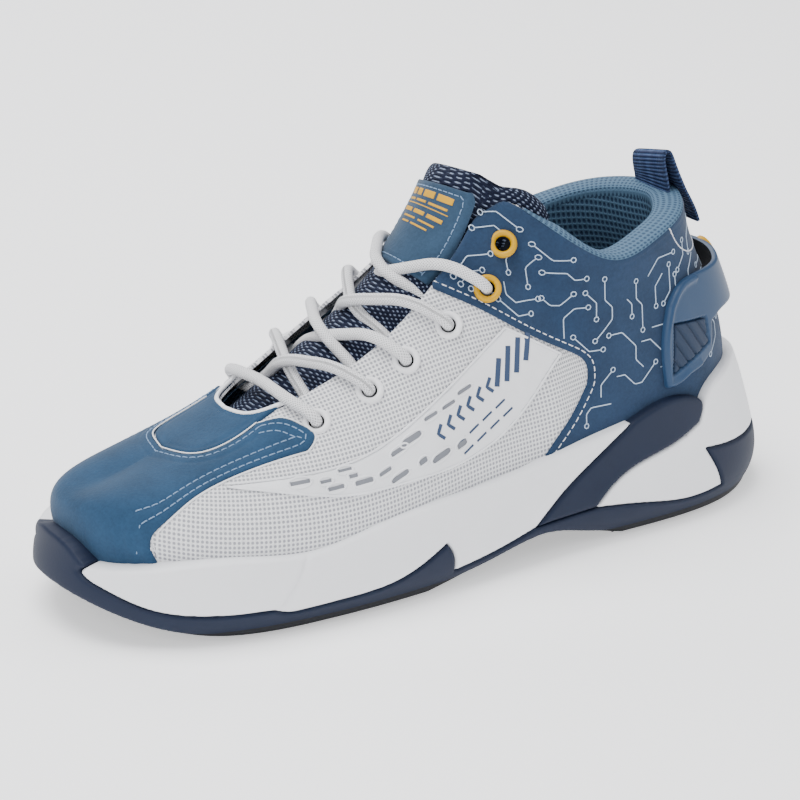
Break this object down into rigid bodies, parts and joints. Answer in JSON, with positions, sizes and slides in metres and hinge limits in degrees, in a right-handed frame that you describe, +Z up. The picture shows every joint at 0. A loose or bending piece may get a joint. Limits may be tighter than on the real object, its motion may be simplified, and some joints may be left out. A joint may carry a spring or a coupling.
{
  "type": "basketball shoe",
  "caption": "Left high-top basketball shoe with laced mesh and suede upper, padded tongue, moulded heel clip, webbing pull tab and sculpted sole.",
  "frame": {"origin": "on the ground under the middle of the shoe", "axes": "+X to the heel, -X to the toe, -Y the outer side, +Y the inner side, +Z up"},
  "size_m": [0.2975, 0.1096, 0.142],
  "materials": {
    "rubber_navy": "satin moulded rubber",
    "rubber_black": "matt tread rubber",
    "foam_white": "painted foam, satin",
    "foam_navy": "painted foam, satin",
    "shank_plastic": "moulded",
    "board": "felted board",
    "insole_cloth": "brushed cloth over foam",
    "mesh": "open woven mesh",
    "printed_suede": "brushed suede with a fine white print",
    "film": "moulded film, satin",
    "suede": "brushed suede",
    "stiffener": "heat-formed sheet",
    "lining_cloth": "knitted lining",
    "padding": "open-cell foam",
    "collar_mesh": "spacer mesh",
    "eyelet_white": "moulded ring",
    "eyelet_yellow": "moulded ring",
    "tongue_mesh": "heavy woven mesh",
    "lace_cotton": "braided round lace",
    "clip_blue": "flexible moulded plastic, satin",
    "clip_insert": "ribbed moulded plastic",
    "webbing": "ribbed webbing"
  },
  "bodies": {
    "root": {"outsole": "rubber_navy", "tread_forefoot": "rubber_black", "tread_heel": "rubber_black", "midsole_forefoot": "foam_white", "midsole_stripe": "foam_navy", "midsole_heel": "foam_white", "shank": "shank_plastic", "strobel_board": "board", "insole": "insole_cloth", "quarter_mesh_lateral": "mesh", "quarter_mesh_medial": "mesh", "collar_panel_lateral": "printed_suede", "collar_panel_medial": "printed_suede", "side_film_lateral": "film", "side_film_medial": "film", "toe_cap": "suede", "vamp_panel": "suede", "toe_puff": "stiffener", "heel_counter": "stiffener", "lining": "lining_cloth", "collar_foam": "padding", "collar_lining": "collar_mesh", "eyelets_white": "eyelet_white", "eyelets_yellow": "eyelet_yellow", "tongue_lower": "tongue_mesh", "lace": "lace_cotton", "lace_aglets": "eyelet_white", "heel_clip": "clip_blue", "heel_clip_insert_lateral": "clip_insert", "heel_clip_insert_medial": "clip_insert", "heel_badge": "eyelet_yellow", "pull_tab_legs": "webbing"},
    "tongue_top": {"tongue_upper": "tongue_mesh", "tongue_label": "suede"},
    "pull_tab": {"pull_tab_loop": "webbing"}
  },
  "joints": [
    {"name": "tongue_flex", "type": "hinge", "parent": "root", "child": "tongue_top", "pos_m": [-0.0068, 0, 0.1087], "axis": [0, 1, 0], "range_deg": [-25, 12], "stiffness_Nm_per_rad": 0.25},
    {"name": "pull_tab_flex", "type": "hinge", "parent": "root", "child": "pull_tab", "pos_m": [0.1065, 0, 0.119], "axis": [0, 1, 0], "range_deg": [-20, 25], "stiffness_Nm_per_rad": 0.05}
  ]
}
